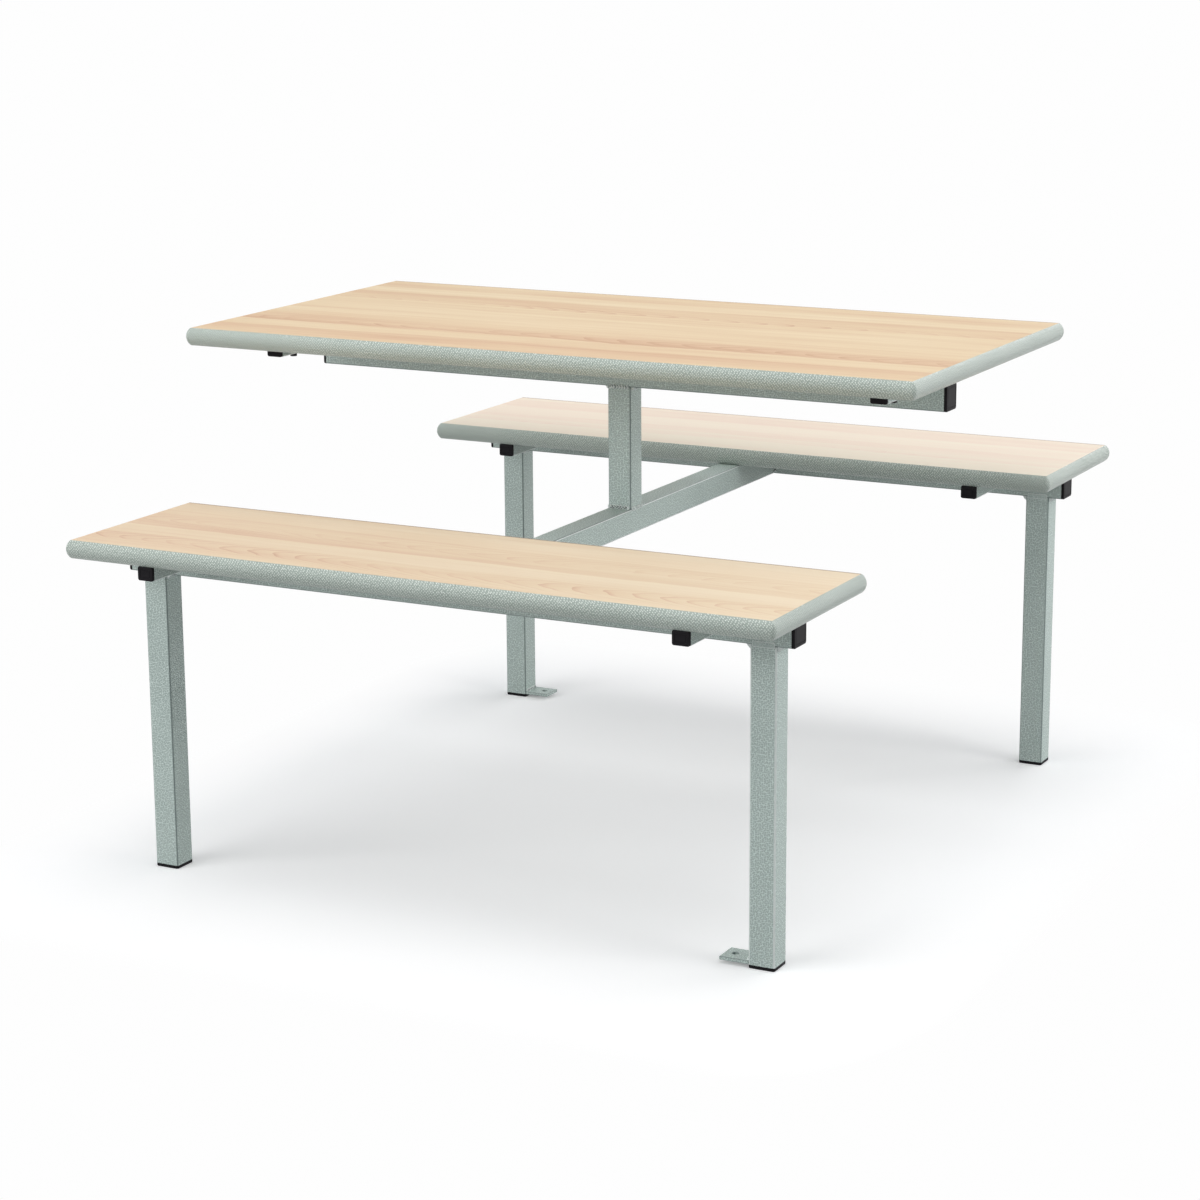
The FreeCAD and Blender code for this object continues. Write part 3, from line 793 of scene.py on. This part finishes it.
# The back bench's colours are paler: painted light, standing in for the brighter light and sheen on the
# back bench.
painted_light_wash = [screen(251, 239, 219), screen(249, 231, 212), screen(245, 222, 204), screen(237, 209, 193)]
table_bands = [(0.0, 0.3), (0.05, 0.5), (0.1, 0.5), (0.12, 0.2), (0.19, 0.2), (0.21, 0.65),
               (0.25, 0.5), (0.33, 0.55), (0.345, 0.3), (0.42, 0.45), (0.44, 0.25), (0.54, 0.4),
               (0.555, 0.25), (0.66, 0.4), (0.7, 0.65), (0.77, 0.9), (0.785, 0.35), (0.86, 0.4),
               (0.875, 0.7), (0.93, 0.6), (1.0, 0.5)]
front_bands = [(0.0, 0.25), (0.1, 0.15), (0.26, 0.3), (0.275, 0.5), (0.36, 0.35), (0.5, 0.5),
               (0.55, 0.6), (0.565, 0.15), (0.72, 0.25), (0.74, 0.5), (0.86, 0.45), (1.0, 0.3)]
back_bands = [(0.0, 0.25), (0.12, 0.45), (0.26, 0.5), (0.28, 0.2), (0.48, 0.25), (0.5, 0.5),
              (0.62, 0.4), (0.64, 0.2), (0.74, 0.4), (0.77, 0.05), (1.0, 0.0)]
table_arches = [(-0.14, 0.75, -0.12, 0.006, 0.35), (0.1, -0.7, 0.12, 0.006, 0.3)]
front_arches = [(-0.60, 0.75, -0.12, 0.005, 0.4), (-0.48, 0.9, -0.1, 0.005, 0.3)]
back_arches = [(0.44, -0.7, 0.12, 0.006, 0.2)]
front_lean = 0.35
faces = {
    "table": (table_bands, table_arches, table_wash, 0.0),
    "front_bench": (front_bands, front_arches, bench_wash, front_lean),
    # The back bench takes the paler colours, painted light.
    "back_bench": (back_bands, back_arches, painted_light_wash, 0.0),
}
for board, (bands, arches, wash, lean) in faces.items():
    printed = beech(board + "_beech", board, bands, arches, wash, lean)
    nodes[board + "_laminate"].material_slots[0].material = printed


# ------------------------------------------------------------------------------------------
# Core boards and backing sheets
# Raw particleboard, of which only the drilled holes show anything, and under it a plain
# balancing sheet that keeps the board flat and that shows from below.

def particleboard():
    """Pressed wood chips in several browns."""
    material, place = new_finish("particleboard")
    chip_place = cells(place, 0.004, 0.004, 0.0015)
    chips = place.add("TexVoronoi", {"Vector": chip_place, "Scale": 1.0}, output="Distance")
    dust = cloud(cells(place, 0.001, 0.001, 0.001), detail=3.0)
    base = mix(chips + dust * 0.4, screen(150, 118, 80), screen(206, 176, 132))
    return close_finish(material, base, 0.85 + 0.1 * (dust - 0.5), bump(chips, 0.0002))


def backing():
    """Plain phenolic sheet, lightly sanded."""
    material, place = new_finish("backing_sheet")
    mottle = cloud(cells(place, 0.03, 0.03, 0.03), detail=4.0)
    sanding = cloud(cells(place, 0.12, 0.0012, 0.01), detail=2.0)
    base = mix(mottle, screen(196, 190, 180), screen(214, 209, 200))
    return close_finish(material, base, 0.55 + 0.15 * (sanding - 0.5), bump(sanding, 0.00003))


core_finish, backing_finish = particleboard(), backing()
for board in faces:
    nodes[board + "_core_board"].material_slots[0].material = core_finish
    nodes[board + "_backing_sheet"].material_slots[0].material = backing_finish


# ------------------------------------------------------------------------------------------
# Studio: floor, light and camera
# A pale floor that fades to white, under five soft panels: a large one overhead, and others at
# the front left, at the right, low at the right towards the back, and behind.

def seen_directly(start):
    """1 for the camera and for what gloss and clear parts show of the surroundings, else 0."""
    seen = start.add("LightPath", output="Is Camera Ray")
    for kind in ("Is Glossy Ray", "Is Transmission Ray"):
        seen = seen.math("MAXIMUM", start.add("LightPath", output=kind))
    return seen


def studio_floor():
    """Pale floor that shows white where nothing shades it, and far off, where less light falls."""
    material, place = new_finish("studio_floor")
    seen = seen_directly(place)
    x, y = axes(place)[:2]
    past_side = (x.math("ABSOLUTE") - glow_side).math("MAXIMUM") * (1 / side_reach)
    past_bench = (y.math("ABSOLUTE") - glow_depth).math("MAXIMUM") * (1 / depth_reach)
    ramp = (past_side * past_side + past_bench * past_bench).math("SQRT").clamp()
    shade = seen * (floor_tone * (1.0 - ramp) - bounce_tone) + bounce_tone
    colour = place.add("CombineColor", {"Red": shade, "Green": shade, "Blue": shade})
    lit = place.add("BsdfDiffuse", {"Color": colour})
    shine = seen * (ramp * (far_glow - near_glow) + near_glow)
    white = place.add("CombineColor", {"Red": shine, "Green": shine, "Blue": shine})
    glow = place.add("Emission", {"Color": white})
    place.add("OutputMaterial", {"Surface": place.add("AddShader", {0: lit, 1: glow})})
    return material


floor_tone, bounce_tone = 0.95, 0.42
near_glow, far_glow = 0.215, 0.99
glow_side, side_reach = 0.56, 0.2
glow_depth, depth_reach = 0.54, 0.36
floor_size = 30.0
half_floor = floor_size / 2
floor_mesh = bpy.data.meshes.new("floor")
floor_mesh.from_pydata([(-half_floor, -half_floor, 0), (half_floor, -half_floor, 0),
                        (half_floor, half_floor, 0), (-half_floor, half_floor, 0)], [], [(0, 1, 2, 3)])
floor_mesh.materials.append(studio_floor())
floor = bpy.data.objects.new("floor", floor_mesh)
bpy.context.scene.collection.objects.link(floor)

world = bpy.data.worlds.new("studio")
world.use_nodes = True
world.node_tree.nodes.clear()
sky = Wire(world.node_tree)
ambient = (0.18, 0.195, 0.215)
background = sky.add("Background", {"Color": mix(seen_directly(sky), ambient, (far_glow,) * 3)})
sky.add("OutputWorld", {"Surface": background})
bpy.context.scene.world = world


def panel(name, place, aim, width, height, power):
    """A rectangular soft light that faces a point."""
    lamp = bpy.data.lights.new(name, "AREA")
    lamp.shape = "RECTANGLE"
    lamp.size, lamp.size_y, lamp.energy = width, height, power
    holder = bpy.data.objects.new(name, lamp)
    bpy.context.scene.collection.objects.link(holder)
    place, aim = Vector(place), Vector(aim)
    turn = (place - aim).to_track_quat("Z", "Y").to_matrix().to_4x4()
    holder.matrix_world = Matrix.Translation(place) @ turn


panel("overhead", (0.1, -0.75, 3.4), (0.1, -0.6, 0.4), 3.8, 3.8, 73.0)
panel("front_left", (-2.4, -4.0, 1.9), (0.0, 0.0, 0.5), 3.8, 2.2, 94.0)
panel("right", (4.8, -0.2, 2.2), (0.0, 0.0, 0.4), 2.4, 1.6, 58.0)
panel("low_right", (3.6, 2.6, 0.9), (0.0, 0.0, 0.4), 2.4, 1.0, 34.0)
panel("behind", (1.6, 4.2, 2.8), (0.0, 0.0, 0.4), 4.5, 2.4, 70.0)

camera = bpy.data.objects.new("camera", bpy.data.cameras.new("camera"))
bpy.context.scene.collection.objects.link(camera)
camera.data.lens = 89.69
camera.data.sensor_width = 36.0
azimuth, elevation, roll = 0.4797, 0.2364, -0.0064
target = Vector((-0.0114, -0.0623, 0.3443))
distance = 4.47
level = math.cos(elevation)
back = Vector((math.sin(azimuth) * level, -math.cos(azimuth) * level, math.sin(elevation)))
facing = back.to_track_quat("Z", "Y").to_matrix().to_4x4()
camera.matrix_world = Matrix.Translation(target + back * distance) @ facing @ Matrix.Rotation(roll, 4, "Z")
bpy.context.scene.camera = camera
bpy.context.scene.view_settings.view_transform = "Standard"
